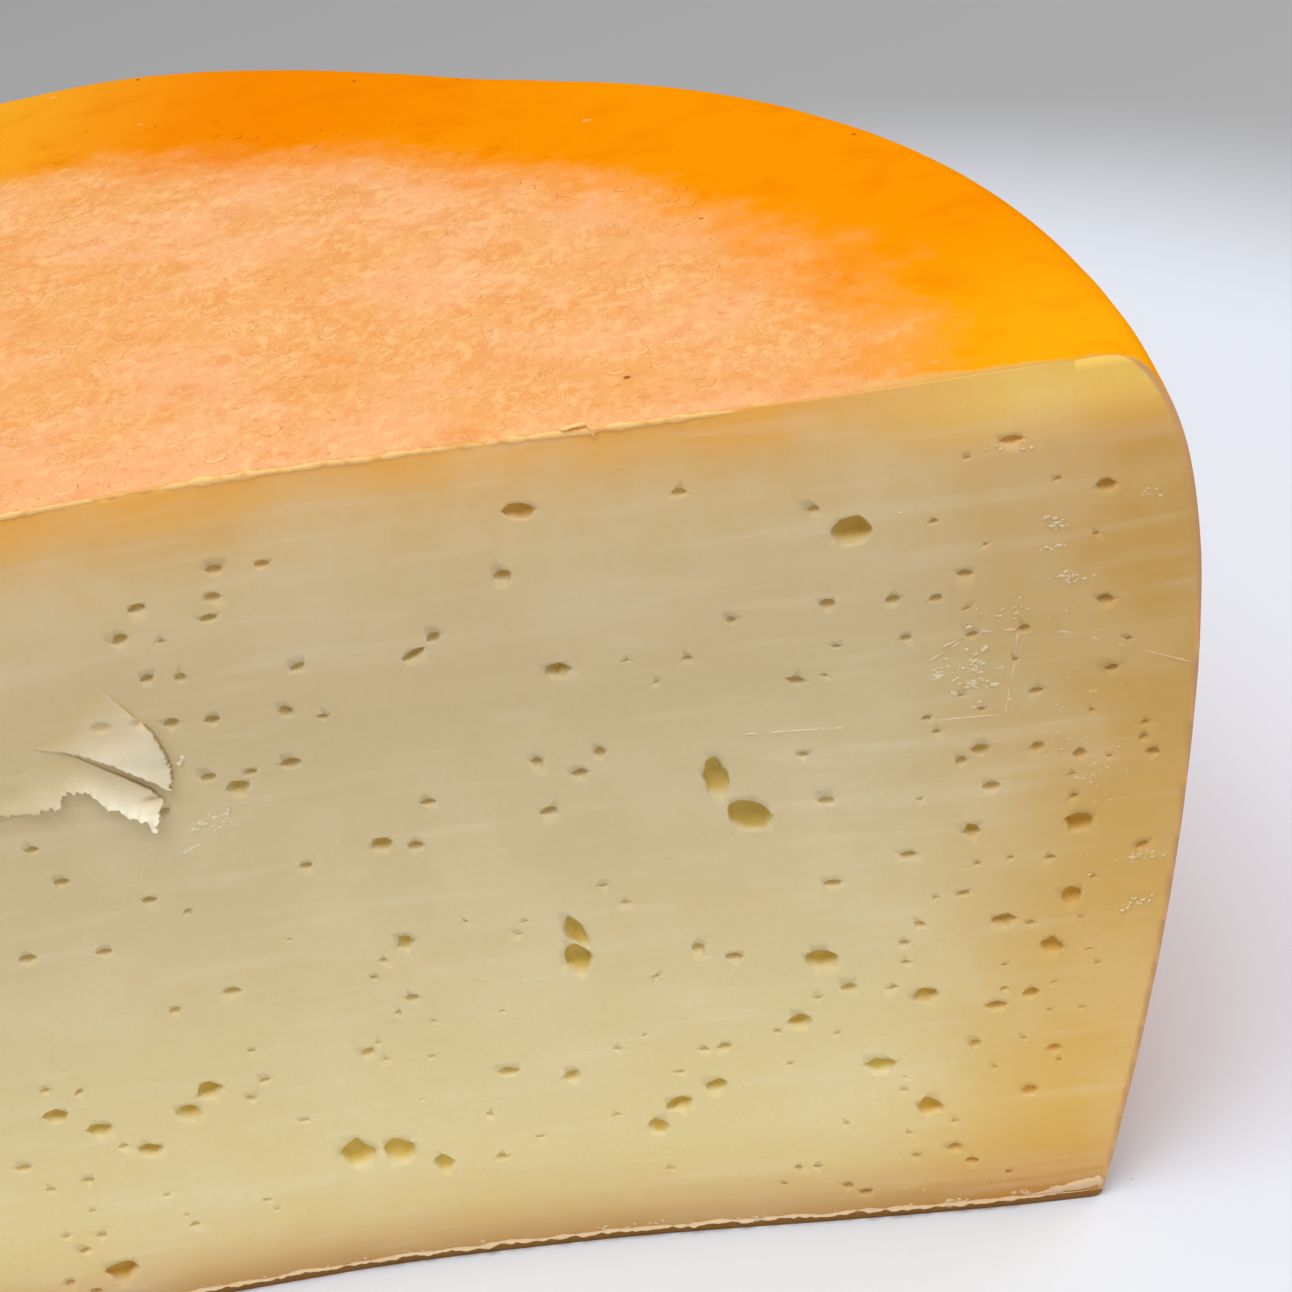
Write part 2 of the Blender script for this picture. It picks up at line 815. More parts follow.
class NodeSheet:
    """A material's nodes, added with short calls."""

    def __init__(self, name: str, offset: Vector) -> None:
        """Start a material whose coordinates are the wheel's own.

        Args:
            name: the material's name.
            offset: from the wheel's own frame to the row's frame.
        """
        self.material = bpy.data.materials.new(name)
        self.material.use_nodes = True
        self.tree = self.material.node_tree
        self.surface = self.tree.nodes["Principled BSDF"]
        coordinates = self.tree.nodes.new("ShaderNodeTexCoord")
        mapping = self.tree.nodes.new("ShaderNodeMapping")
        mapping.inputs["Location"].default_value = -offset
        self.tree.links.new(coordinates.outputs["Object"], mapping.inputs["Vector"])
        self.place = mapping.outputs["Vector"]
        split = self.tree.nodes.new("ShaderNodeSeparateXYZ")
        self.tree.links.new(self.place, split.inputs["Vector"])
        self.x, self.y, self.z = split.outputs

    def feed(self, socket: Socket, value: Input) -> None:
        """Link a socket, or set its value.

        Args:
            socket: the socket that takes it.
            value: another node's socket, or a number or colour.
        """
        if isinstance(value, bpy.types.NodeSocket):
            self.tree.links.new(value, socket)
        else:
            socket.default_value = value

    def math(self, operation: str, first: Input, second: Input = 0.0, third: Input = 0.0) -> Socket:
        """Return the result of one sum.

        Args:
            operation: the sum's name.
            first: a socket or a number.
            second: a socket or a number.
            third: a socket or a number.

        Returns:
            The result's socket.
        """
        node = self.tree.nodes.new("ShaderNodeMath")
        node.operation = operation
        for socket, value in zip(node.inputs, (first, second, third)):
            self.feed(socket, value)
        return node.outputs[0]

    def times(self, first: Input, second: Input) -> Socket:
        """Return the product of two values."""
        return self.math("MULTIPLY", first, second)

    def step(
        self, value: Input, low: float, high: float, start: float = 0.0, end: float = 1.0
    ) -> Socket:
        """Return a soft step of a value.

        Args:
            value: the socket that is read.
            low: where the step begins; it may lie above its end.
            high: where it ends.
            start: the result at low.
            end: the result at high.

        Returns:
            The result's socket.
        """
        node = self.tree.nodes.new("ShaderNodeMapRange")
        node.interpolation_type = "SMOOTHSTEP"
        rising = low < high
        for name, number in (
            ("From Min", low if rising else high),
            ("From Max", high if rising else low),
            ("To Min", start if rising else end),
            ("To Max", end if rising else start),
        ):
            node.inputs[name].default_value = number
        self.feed(node.inputs["Value"], value)
        return node.outputs["Result"]

    def mix(self, share: Input, first: Input, second: Input, blend: str = "MIX") -> Socket:
        """Return a blend of two colours.

        Args:
            share: how much of the second there is.
            first: a socket or a colour.
            second: a socket or a colour.
            blend: how they blend.

        Returns:
            The blend's socket.
        """
        node = self.tree.nodes.new("ShaderNodeMix")
        node.data_type = "RGBA"
        node.blend_type = blend
        self.feed(node.inputs["Factor"], share)
        self.feed(node.inputs[6], first)
        self.feed(node.inputs[7], second)
        return node.outputs[2]

    def ramp(self, value: Input, stops: tuple[tuple[float, Colour], ...]) -> Socket:
        """Return the colour that a row of stops has at a value.

        Args:
            value: the socket that is read, from 0 to 1.
            stops: places from 0 to 1 and their colours, in order.

        Returns:
            The colour's socket.
        """
        node = self.tree.nodes.new("ShaderNodeValToRGB")
        elements = node.color_ramp.elements
        elements[0].position, elements[0].color = stops[0]
        elements[1].position, elements[1].color = stops[-1]
        for position, colour in stops[1:-1]:
            elements.new(position).color = colour
        self.feed(node.inputs["Fac"], value)
        return node.outputs["Color"]

    def noise(self, cloud: Cloud) -> Socket:
        """Return a cloud's noise as it is, from 0 to 1.

        Args:
            cloud: the cloud.

        Returns:
            The noise's socket.
        """
        node = self.tree.nodes.new("ShaderNodeTexNoise")
        node.inputs["Scale"].default_value = 1 / cloud.size
        node.inputs["Detail"].default_value = cloud.layers
        node.inputs["Roughness"].default_value = cloud.roughness
        node.inputs["Distortion"].default_value = cloud.bent
        self.tree.links.new(self.stretched(cloud.stretch), node.inputs["Vector"])
        return node.outputs["Fac"]

    def patches(self, cloud: Cloud) -> Socket:
        """Return where a cloud's patches lie, by its own soft step."""
        return self.step(self.noise(cloud), cloud.low, cloud.high, cloud.least, cloud.most)

    def shifted(self, cloud: Cloud, reach: float) -> Socket:
        """Return a cloud as a length, up to half of reach to either side of 0."""
        return self.math("MULTIPLY_ADD", self.noise(cloud), reach, -reach / 2)

    def stretched(self, stretch: tuple[float, float, float] | None) -> Socket:
        """Return the place, stretched if asked.

        Args:
            stretch: how much finer the pattern is along each axis, or None.

        Returns:
            The place's socket.
        """
        if stretch is None:
            return self.place
        node = self.tree.nodes.new("ShaderNodeVectorMath")
        node.operation = "MULTIPLY"
        self.tree.links.new(self.place, node.inputs[0])
        node.inputs[1].default_value = stretch
        return node.outputs[0]

    def span(self, operation: str, start: tuple[float, float, float] = (0.0, 0.0, 0.0)) -> Socket:
        """Return a length measured to the place.

        Args:
            operation: LENGTH from the axis on the floor, or DISTANCE from a start.
            start: where the distance is measured from.

        Returns:
            The length's socket.
        """
        node = self.tree.nodes.new("ShaderNodeVectorMath")
        node.operation = operation
        self.tree.links.new(self.place, node.inputs[0])
        node.inputs[1].default_value = start
        return node.outputs["Value"]

    def under(self, height: float) -> Socket:
        """Return how far below a height the place is."""
        return self.math("SUBTRACT", height, self.z)

    def cells(self, size: float) -> tuple[Socket, Socket]:
        """Return the distance to the nearest of many random points, and that point's number.

        Args:
            size: the usual gap between the points.

        Returns:
            The distance as a share of size, and a random number from 0 to 1.
        """
        node = self.tree.nodes.new("ShaderNodeTexVoronoi")
        node.inputs["Scale"].default_value = 1 / size
        self.tree.links.new(self.place, node.inputs["Vector"])
        split = self.tree.nodes.new("ShaderNodeSeparateColor")
        self.tree.links.new(node.outputs["Color"], split.inputs[0])
        return node.outputs["Distance"], split.outputs[0]

    def kept(self, name: str) -> Socket:
        """Return a number that the mesh keeps for each point.

        Args:
            name: the number's name.

        Returns:
            Its socket, which reads 0 on a mesh that keeps none.
        """
        node = self.tree.nodes.new("ShaderNodeAttribute")
        node.attribute_name = name
        return node.outputs["Fac"]

    def bump(
        self, height: Input, distance: float, strength: Input = 1.0, after: Socket | None = None
    ) -> Socket:
        """Return normals with a fine relief.

        Args:
            height: the relief, from 0 to 1.
            distance: how high 1 is.
            strength: how strong the relief is.
            after: the normals of a relief below it, or None.

        Returns:
            The normals' socket.
        """
        node = self.tree.nodes.new("ShaderNodeBump")
        node.inputs["Distance"].default_value = distance
        self.feed(node.inputs["Strength"], strength)
        self.feed(node.inputs["Height"], height)
        if after is not None:
            self.feed(node.inputs["Normal"], after)
        return node.outputs["Normal"]

    def set(self, **values: Input) -> None:
        """Set or link the surface's sockets by name, with underscores for spaces."""
        for name, value in values.items():
            self.feed(self.surface.inputs[name.replace("_", " ")], value)


@dataclass(frozen=True)
class RindFinish:
    """The coated rind: a matte bloomed top, and a clear orange shoulder and side."""

    bloom: Colour = srgb(231, 164, 98)
    bloom_pink: Colour = srgb(237, 171, 118)
    bloom_deep: Colour = srgb(224, 144, 72)
    bloom_pale: Colour = srgb(255, 205, 146)
    orange: Colour = srgb(234, 129, 2)
    orange_right: Colour = srgb(239, 142, 2)
    orange_far: Colour = srgb(237, 164, 36)
    orange_deep: Colour = srgb(222, 112, 2)
    orange_side: Colour = srgb(224, 138, 52)
    yellow: Colour = srgb(248, 164, 12)
    worn: Colour = srgb(200, 158, 108)
    margin: Colour = srgb(222, 170, 86)
    scuff: Colour = srgb(236, 178, 112)
    speck: Colour = srgb(110, 56, 14)
    foot: Colour = srgb(190, 120, 56)

    # Where the bloom ends
    bloom_centre: tuple[float, float, float] = (12.5 * MM, -11 * MM, 100 * MM)
    bloom_edge: Band = (106 * MM, 125 * MM)
    bloom_wander: Cloud = Cloud(18 * MM, 4, 0.76)
    bloom_reach: float = 30 * MM
    bloom_foot: Band = (3 * MM, 9 * MM)

    # The bloom's patches and marks
    pink_patches: Cloud = Cloud(19 * MM, 2, 0.6, 0.42, 0.62)
    warm_patches: Cloud = Cloud(6 * MM, 2, 0.7, 0.46, 0.68, most=0.5)
    thick_patches: Cloud = Cloud(10 * MM, 2, 0.5, 0.36, 0.6, least=0.5)
    blotches: Cloud = Cloud(1.4 * MM, 2, 0.5, 0.46, 0.68, stretch=(1.0, 0.62, 1.0))
    squiggles: Cloud = Cloud(2.4 * MM, 2, 0.6, 0.03, 0.008, bent=2.2, stretch=(1.0, 0.6, 1.0))
    raised_paleness: float = 0.42
    dashes: Cloud = Cloud(1.1 * MM, 2, 0.6, 0.4, 0.26, most=0.7)

    # The clear coat, from far left to the right, then down the side
    coat_clouds: Cloud = Cloud(26 * MM, 4, 0.66)
    coat_reach: float = 60 * MM
    right_turn: Band = (40 * MM, 105 * MM)
    far_turn: Band = (50 * MM, 0)
    yellow_right: Band = (120 * MM, 142 * MM)
    yellow_near: Band = (40 * MM, 6 * MM)
    deep_patches: Cloud = Cloud(9 * MM, 4, 0.62, 0.48, 0.7, most=0.3)
    side_fall: Band = (6 * MM, 45 * MM)
    side_strength: float = 0.85
    scuffs: Cloud = Cloud(4 * MM, 3, 0.72, 0.56, 0.74, stretch=(0.35, 0.35, 1.0))
    scuff_strength: float = 0.5

    # The tan margin and the worn side by the cut
    margin_wobble: Cloud = Cloud(5 * MM, 3, 0.6)
    margin_reach: float = 3 * MM
    margin_lean: float = 0.1
    margin_edge: Band = (15.2 * MM, 14.3 * MM)
    margin_right: Band = (98 * MM, 112 * MM)
    worn_edge: Band = (16 * MM, 3 * MM)
    worn_fall: Band = (8 * MM, 22 * MM)

    # Specks, each a share of the gap between them, and how many of them show
    speck_gap: float = 8 * MM
    speck_edge: Band = (0.06, 0.03)
    speck_chance: Band = (0.6, 0.62)
    speck_strength: float = 0.75
    fleck_edge: Band = (0.1, 0.03)
    fleck_chance: Band = (0.4, 0.38)
    fleck_strength: float = 0.35

    foot_band: Band = (3 * MM, 0.2 * MM)
    lumps: Cloud = Cloud(2.4 * MM, 1)
    lump_height: float = 0.1 * MM
    lump_strength: float = 0.8
    relief_height: float = 0.07 * MM
    relief: Band = (0.9, 0.12)
    roughness: Band = (0.7, 0.42)

    def material(self, wheel: Wheel, offset: Vector) -> bpy.types.Material:
        """Return the rind's material.

        Args:
            wheel: the wheel that it covers.
            offset: from the wheel's own frame to the row's frame.

        Returns:
            The material.
        """
        sheet = NodeSheet("coated_rind", offset)
        glossy = self.glossy_share(sheet, wheel)
        matte, relief = self.bloomed(sheet)
        colour = sheet.mix(glossy, matte, self.coated(sheet, wheel))
        colour = self.specked(sheet, colour)
        colour = sheet.mix(sheet.step(sheet.z, *self.foot_band), colour, self.foot)
        lumps = sheet.bump(sheet.noise(self.lumps), self.lump_height, self.lump_strength)
        strength = sheet.step(glossy, 0, 1, *self.relief)
        normal = sheet.bump(relief, self.relief_height, strength, lumps)
        roughness = sheet.step(glossy, 0, 1, *self.roughness)
        sheet.set(Base_Color=colour, Roughness=roughness, Normal=normal, Specular_IOR_Level=0.0)
        return sheet.material

    def glossy_share(self, sheet: NodeSheet, wheel: Wheel) -> Socket:
        """Return where the coat is clear.

        Args:
            sheet: the rind's nodes.
            wheel: the wheel that it covers.

        Returns:
            A value from 0 on the bloomed top to 1.
        """
        wander = sheet.shifted(self.bloom_wander, self.bloom_reach)
        reach = sheet.math("ADD", sheet.span("DISTANCE", self.bloom_centre), wander)
        shoulder = sheet.step(reach, *self.bloom_edge)
        below = sheet.step(sheet.under(wheel.height), *self.bloom_foot)
        return sheet.math("MAXIMUM", shoulder, below)

    def bloomed(self, sheet: NodeSheet) -> tuple[Socket, Socket]:
        """Return the matte top's colour and its relief.

        Args:
            sheet: the rind's nodes.

        Returns:
            The colour, with pale squiggles and rings and dark dashes, and the blotches' height.
        """
        colour = sheet.mix(sheet.patches(self.pink_patches), self.bloom, self.bloom_pink)
        colour = sheet.mix(sheet.patches(self.warm_patches), colour, self.bloom_deep)
        thick = sheet.patches(self.thick_patches)
        blotch = sheet.patches(self.blotches)
        off_line = sheet.math("ABSOLUTE", sheet.math("SUBTRACT", sheet.noise(self.squiggles), 0.5))
        squiggle = sheet.step(off_line, self.squiggles.low, self.squiggles.high)
        raised = sheet.times(sheet.math("MAXIMUM", blotch, squiggle), thick)
        pale = sheet.math("MAXIMUM", sheet.times(raised, self.raised_paleness), sheet.kept("ring"))
        colour = sheet.mix(pale, colour, self.bloom_pale)
        return sheet.mix(sheet.patches(self.dashes), colour, self.bloom_deep), blotch

    def coated(self, sheet: NodeSheet, wheel: Wheel) -> Socket:
        """Return the clear coat's colour, yellower at the cut and duller down the side.

        Args:
            sheet: the rind's nodes.
            wheel: the wheel that it covers.

        Returns:
            The colour's socket.
        """
        shift = sheet.shifted(self.coat_clouds, self.coat_reach)
        rightward = sheet.step(sheet.math("ADD", sheet.x, shift), *self.right_turn)
        colour = sheet.mix(rightward, self.orange, self.orange_right)
        colour = sheet.mix(sheet.step(sheet.x, *self.far_turn), colour, self.orange_far)
        right = sheet.step(sheet.x, *self.yellow_right)
        near = sheet.step(sheet.y, *self.yellow_near)
        colour = sheet.mix(sheet.times(right, near), colour, self.yellow)
        colour = sheet.mix(sheet.patches(self.deep_patches), colour, self.orange_deep)
        under = sheet.under(wheel.height)
        down = sheet.step(under, *self.side_fall)
        colour = sheet.mix(sheet.times(down, self.side_strength), colour, self.orange_side)
        scuffed = sheet.times(sheet.patches(self.scuffs), sheet.times(down, self.scuff_strength))
        colour = sheet.mix(scuffed, colour, self.scuff)
        behind = sheet.kept("hollow")
        wobble = sheet.shifted(self.margin_wobble, self.margin_reach)
        leaning = sheet.math("MULTIPLY_ADD", sheet.x, self.margin_lean, behind)
        margin = sheet.step(sheet.math("ADD", leaning, wobble), *self.margin_edge)
        margin = sheet.times(margin, sheet.step(sheet.x, *self.margin_right))
        colour = sheet.mix(margin, colour, self.margin)
        by_cut = sheet.step(behind, *self.worn_edge)
        return sheet.mix(sheet.times(by_cut, sheet.step(under, *self.worn_fall)), colour, self.worn)

    def specked(self, sheet: NodeSheet, colour: Input) -> Socket:
        """Return a colour with a few dark specks and pale flecks on it.

        Args:
            sheet: the rind's nodes.
            colour: the colour below them.

        Returns:
            The colour's socket.
        """
        distance, chance = sheet.cells(self.speck_gap)
        speck = sheet.times(
            sheet.step(distance, *self.speck_edge), sheet.step(chance, *self.speck_chance)
        )
        colour = sheet.mix(sheet.times(speck, self.speck_strength), colour, self.speck)
        fleck = sheet.times(
            sheet.step(distance, *self.fleck_edge), sheet.step(chance, *self.fleck_chance)
        )
        return sheet.mix(sheet.times(fleck, self.fleck_strength), colour, self.bloom_pale)


@dataclass(frozen=True)
class StripFinish:
    """The coating's own cut edge: pale yellow, with duller patches."""

    pale: Colour = srgb(255, 206, 132)
    dull: Colour = srgb(244, 180, 104)
    dull_patches: Cloud = Cloud(2 * MM, 3, 0.6, 0.45, 0.65)
    grain: Cloud = Cloud(0.6 * MM, 2)
    grain_height: float = 0.08 * MM

    def material(self, offset: Vector) -> bpy.types.Material:
        """Return the strip's material.

        Args:
            offset: from the wheel's own frame to the row's frame.

        Returns:
            The material.
        """
        sheet = NodeSheet("coating_edge", offset)
        colour = sheet.mix(sheet.patches(self.dull_patches), self.pale, self.dull)
        normal = sheet.bump(sheet.noise(self.grain), self.grain_height)
        sheet.set(Base_Color=colour, Roughness=0.6, Normal=normal, Specular_IOR_Level=0.08)
        return sheet.material


@dataclass(frozen=True)
class PasteFinish:
    """The cut paste: warm under the rind, creamy in the middle, yellower low down."""

    # From the foot, 0, to the top, 1
    strata: tuple[tuple[float, Colour], ...] = (
        (0.0, srgb(190, 150, 90)),
        (0.025, srgb(204, 164, 106)),
        (0.05, srgb(222, 186, 125)),
        (0.085, srgb(231, 205, 142)),
        (0.15, srgb(236, 216, 157)),
        (0.25, srgb(233, 213, 156)),
        (0.4, srgb(226, 206, 154)),
        (0.58, srgb(217, 196, 149)),
        (0.72, srgb(212, 191, 145)),
        (0.82, srgb(215, 191, 146)),
        (0.88, srgb(218, 192, 141)),
        (0.92, srgb(223, 189, 132)),
        (0.955, srgb(229, 184, 116)),
        (0.975, srgb(240, 183, 102)),
        (1.0, srgb(248, 180, 86)),
    )
    side_tint: Colour = srgb(249, 221, 165)
    corner_glow: Colour = srgb(255, 208, 102)
    rind_line: Colour = srgb(220, 168, 110)
    foot_line: Colour = srgb(150, 104, 44)
    pale: Colour = srgb(255, 247, 222)
    warm: Colour = srgb(222, 170, 96)
    hollow: Colour = srgb(246, 235, 166)

    # The strata wander by the drift, fully so above this band of heights
    clouds: Cloud = Cloud(17 * MM, 4, 0.6, 0.42, 0.68, most=0.1)
    drift: float = 5 * MM
    drift_rise: Band = (20 * MM, 60 * MM)
    side_band: Band = (32 * MM, 4 * MM)
    glow_right: Band = (118 * MM, 140 * MM)
    glow_fall: Band = (9 * MM, 2 * MM)
    glow_strength: float = 0.95
    rind_edge: Band = (0.7 * MM, 0.3 * MM)
    foot_edge: Band = (1.2 * MM, 0.9 * MM)
    hollow_edge: Band = (0.12 * MM, 1.0 * MM)
    fresh_below: float = 0.3
    torn_strength: float = 0.8
    streaks: Cloud = Cloud(2.2 * MM, 2, 0.6, 0.5, 0.72, most=0.1, stretch=(0.08, 1.0, 1.0))
    flecks: Cloud = Cloud(0.8 * MM, 2, 0.6, 0.52, 0.74, most=0.14)
    grooves: Cloud = Cloud(1.2 * MM, 1, 0.6, stretch=(0.08, 1.0, 1.0))
    groove_height: float = 0.06 * MM
    groove_strength: float = 0.7

    def material(self, wheel: Wheel, offset: Vector) -> bpy.types.Material:
        """Return the paste's material.

        Args:
            wheel: the wheel that it fills.
            offset: from the wheel's own frame to the row's frame.

        Returns:
            The material.
        """
        sheet = NodeSheet("cut_paste", offset)
        side = sheet.kept("side_depth")
        torn = sheet.kept("torn")
        cloud = sheet.noise(self.clouds)
        drift = sheet.math("MULTIPLY_ADD", cloud, self.drift, -self.drift / 2)
        upper = sheet.step(sheet.z, *self.drift_rise)
        level = sheet.math("SUBTRACT", sheet.z, sheet.times(drift, upper))
        colour = sheet.ramp(sheet.times(level, 1 / wheel.height), self.strata)
        inward = sheet.step(sheet.math("ADD", side, drift), *self.side_band)
        colour = sheet.mix(inward, colour, self.side_tint, "MULTIPLY")
        colour = sheet.mix(self.glow(sheet, wheel), colour, self.corner_glow)
        colour = self.mottled(sheet, colour, cloud)
        fresh = sheet.step(torn, 0.0, self.fresh_below, 1.0, 0.0)
        colour = sheet.mix(
            sheet.times(sheet.step(side, *self.rind_edge), fresh), colour, self.rind_line
        )
        colour = sheet.mix(
            sheet.times(sheet.step(sheet.z, *self.foot_edge), fresh), colour, self.foot_line
        )
        depth = sheet.step(sheet.kept("hollow"), *self.hollow_edge)
        colour = sheet.mix(depth, colour, self.hollow, "MULTIPLY")
        colour = sheet.mix(sheet.times(torn, self.torn_strength), colour, self.pale)
        normal = sheet.bump(sheet.noise(self.grooves), self.groove_height, self.groove_strength)
        sheet.set(Base_Color=colour, Roughness=0.55, Normal=normal, Specular_IOR_Level=0.15)
        return sheet.material

    def glow(self, sheet: NodeSheet, wheel: Wheel) -> Socket:
        """Return where the paste glows through the thin upper corner by the rind.

        Args:
            sheet: the paste's nodes.
            wheel: the wheel that it fills.

        Returns:
            A value from 0 to 1.
        """
        right = sheet.step(sheet.x, *self.glow_right)
        high = sheet.step(sheet.under(wheel.height), *self.glow_fall)
        return sheet.times(sheet.times(right, high), self.glow_strength)

    def mottled(self, sheet: NodeSheet, colour: Input, cloud: Socket) -> Socket:
        """Return a colour with faint clouds, streaks and warm flecks in it.

        Args:
            sheet: the paste's nodes.
            colour: the colour below them.
            cloud: the noise of the clouds.

        Returns:
            The colour's socket.
        """
        clouded = sheet.step(cloud, self.clouds.low, self.clouds.high, 0.0, self.clouds.most)
        colour = sheet.mix(clouded, colour, self.pale)
        colour = sheet.mix(sheet.patches(self.streaks), colour, self.pale)
        return sheet.mix(sheet.patches(self.flecks), colour, self.warm)


@dataclass(frozen=True)
class Sheet:
    """A thin torn sheet of paste. Its sizes and its borders on the cut face are in millimetres."""

    top: tuple[Spot, ...]
    foot: tuple[Spot, ...]
    lift: tuple[float, ...]
    foot_lift: tuple[float, ...]
    thickness: float
    tear: float
    seed: float
    columns: int = 150
    rows: int = 44
    dent: float = 0.55
    dent_width: float = 0.75
    dent_height: float = 0.42
    tooth: float = 0.9
    tooth_layers: int = 4
    tooth_roughness: float = 0.8
    foot_teeth: float = 0.5
    foot_power: int = 5
    end_teeth: float = 0.7
    end_power: int = 8
    wrinkle: float = 0.28
    wrinkle_length: float = 4
    wrinkle_height: float = 2.5

    def shape(
        self, face: Callable[[float, float], float], dents: tuple[Spot, ...]
    ) -> bmesh.types.BMesh:
        """Return the sheet, torn ragged along its foot and its end.

        Args:
            face: gives the cut face's Y at a place along the cut and a height.
            dents: the places of the small eyes in it.

        Returns:
            A closed shape.
        """
        bm = bmesh.new()
        bmesh.ops.create_grid(bm, x_segments=self.columns, y_segments=self.rows, size=1)
        for vertex in bm.verts:
            along, down = (vertex.co.x + 1) / 2, (1 - vertex.co.y) / 2
            x, z, lift = self.place(along, down)
            for dent_x, dent_z in dents:
                near = ((x - dent_x) / self.dent_width) ** 2 + ((z - dent_z) / self.dent_height) ** 2
                lift -= self.dent * math.exp(-near)
            vertex.co = Vector((x * MM, face(x * MM, z * MM) - lift * MM, z * MM))
        back = bmesh.ops.extrude_face_region(bm, geom=list(bm.faces))
        behind = [item for item in back["geom"] if isinstance(item, bmesh.types.BMVert)]
        bmesh.ops.translate(bm, verts=behind, vec=(0, self.thickness * MM, 0))
        bmesh.ops.recalc_face_normals(bm, faces=bm.faces)
        return bm

    def place(self, along: float, down: float) -> tuple[float, float, float]:
        """Return a point of the sheet.

        Args:
            along: the share of the way from its root to its torn end.
            down: the share of the way from its top to its foot.

        Returns:
            The place along the cut, the height and the lift, in millimetres.
        """
        knots = np.linspace(0, 1, len(self.top))
        top_x, top_z = (np.interp(along, knots, side) for side in zip(*self.top))
        foot_x, foot_z = (np.interp(along, knots, side) for side in zip(*self.foot))
        x = float(top_x + (foot_x - top_x) * down)
        z = float(top_z + (foot_z - top_z) * down)
        lift = float(np.interp(along, knots, self.lift))
        lift += (float(np.interp(along, knots, self.foot_lift)) - lift) * down**2
        foot_tear = self.teeth(Vector((x / self.tooth, self.seed * 9, 0)))
        end_tear = self.teeth(Vector((z / self.tooth, self.seed * 5, 3)))
        wrinkle = noise.noise(Vector((x / self.wrinkle_length, z / self.wrinkle_height, self.seed * 3)))
        lift += wrinkle * self.wrinkle * down
        x += end_tear * self.end_teeth * along**self.end_power
        z += foot_tear * self.foot_teeth * self.tear * down**self.foot_power
        return x, z, lift

    def teeth(self, place: Vector) -> float:
        """Return how far a tooth of the torn border stands out, at a place in the noise."""
        return noise.fractal(place, self.tooth_roughness, 2.0, self.tooth_layers)


@dataclass
class TornFlap:
    """The flap of paste that the blade tore up: two thin sheets with a slit between them."""

    wheel: Wheel
    face: Callable[[float, float], float]
    upper: Sheet = Sheet(
        top=((19, 84.5), (30, 83.6), (40, 82.8), (45.8, 82), (48, 78.4), (50.2, 75), (50.8, 71.5)),
        foot=((19, 75), (30, 75.2), (38, 75.4), (42.5, 74.2), (45.2, 72.7), (48.3, 70.2), (50.3, 68.4)),
        lift=(-0.25, -0.2, -0.14, -0.08, 0.4, 0.85, 0.8),
        foot_lift=(-0.3, -0.3, -0.15, 0.55, 1.15, 1.2, 1.0),
        thickness=0.6,
        tear=0.8,
        seed=1.0,
    )
    lower: Sheet = Sheet(
        top=(
            (19, 79), (30, 78.3), (36, 76.9), (40, 75.0), (42, 73.7), (43.4, 72.5), (45, 71.2),
            (47, 69.6), (48.9, 67.8),
        ),
        foot=(
            (19, 69.2), (29, 68.9), (35, 68.7), (38.9, 68.7), (39.7, 70.3), (42.2, 70.0), (44, 67.9),
            (46, 66.5), (48.2, 65.1),
        ),
        lift=(-0.3, -0.25, -0.2, -0.05, 0.1, 0.25, 0.4, 0.6, 0.8),
        foot_lift=(0.3, 0.5, 0.7, 0.9, 0.8, 1.1, 1.6, 2.1, 2.4),
        thickness=0.5,
        tear=1.9,
        seed=2.0,
    )
    eyes: tuple[Spot, ...] = ((45.4, 76.6), (39.3, 76.9), (49.4, 76.4), (47.9, 67.5))
    shade_lift: float = 0.4 * MM
    shade_from: float = 38 * MM
    pale_lift: Band = (0.1 * MM, 1.6 * MM)
    pale_from: Band = (33 * MM, 45 * MM)

    def build(self) -> Piece:
        """Return the flap as one piece."""
        bm = bmesh.new()
        for sheet in (self.upper, self.lower):
            merge(bm, sheet.shape(self.face, self.eyes))
        piece = Piece("torn_flap", bm)
        points = piece.corners()
        x = points[:, 0]
        lift = self.wheel.face_depths(x) - points[:, 1]
        piece.mark("side_depth", self.wheel.side_radius(points[:, 2]) - np.abs(x))
        piece.mark("hollow", np.clip(self.shade_lift - lift, 0, 1 * MM) * (x > self.shade_from))
        piece.mark("torn", np.interp(lift, self.pale_lift, (0, 1)) * np.interp(x, self.pale_from, (0, 1)))
        return piece


@dataclass(frozen=True)
class Cluster:
    """A scatter of crumbs on the cut face: middle, spread and tilt in millimetres and degrees."""

    x: float
    z: float
    spread_x: float
    spread_z: float
    tilt: float
    count: int
    size: float


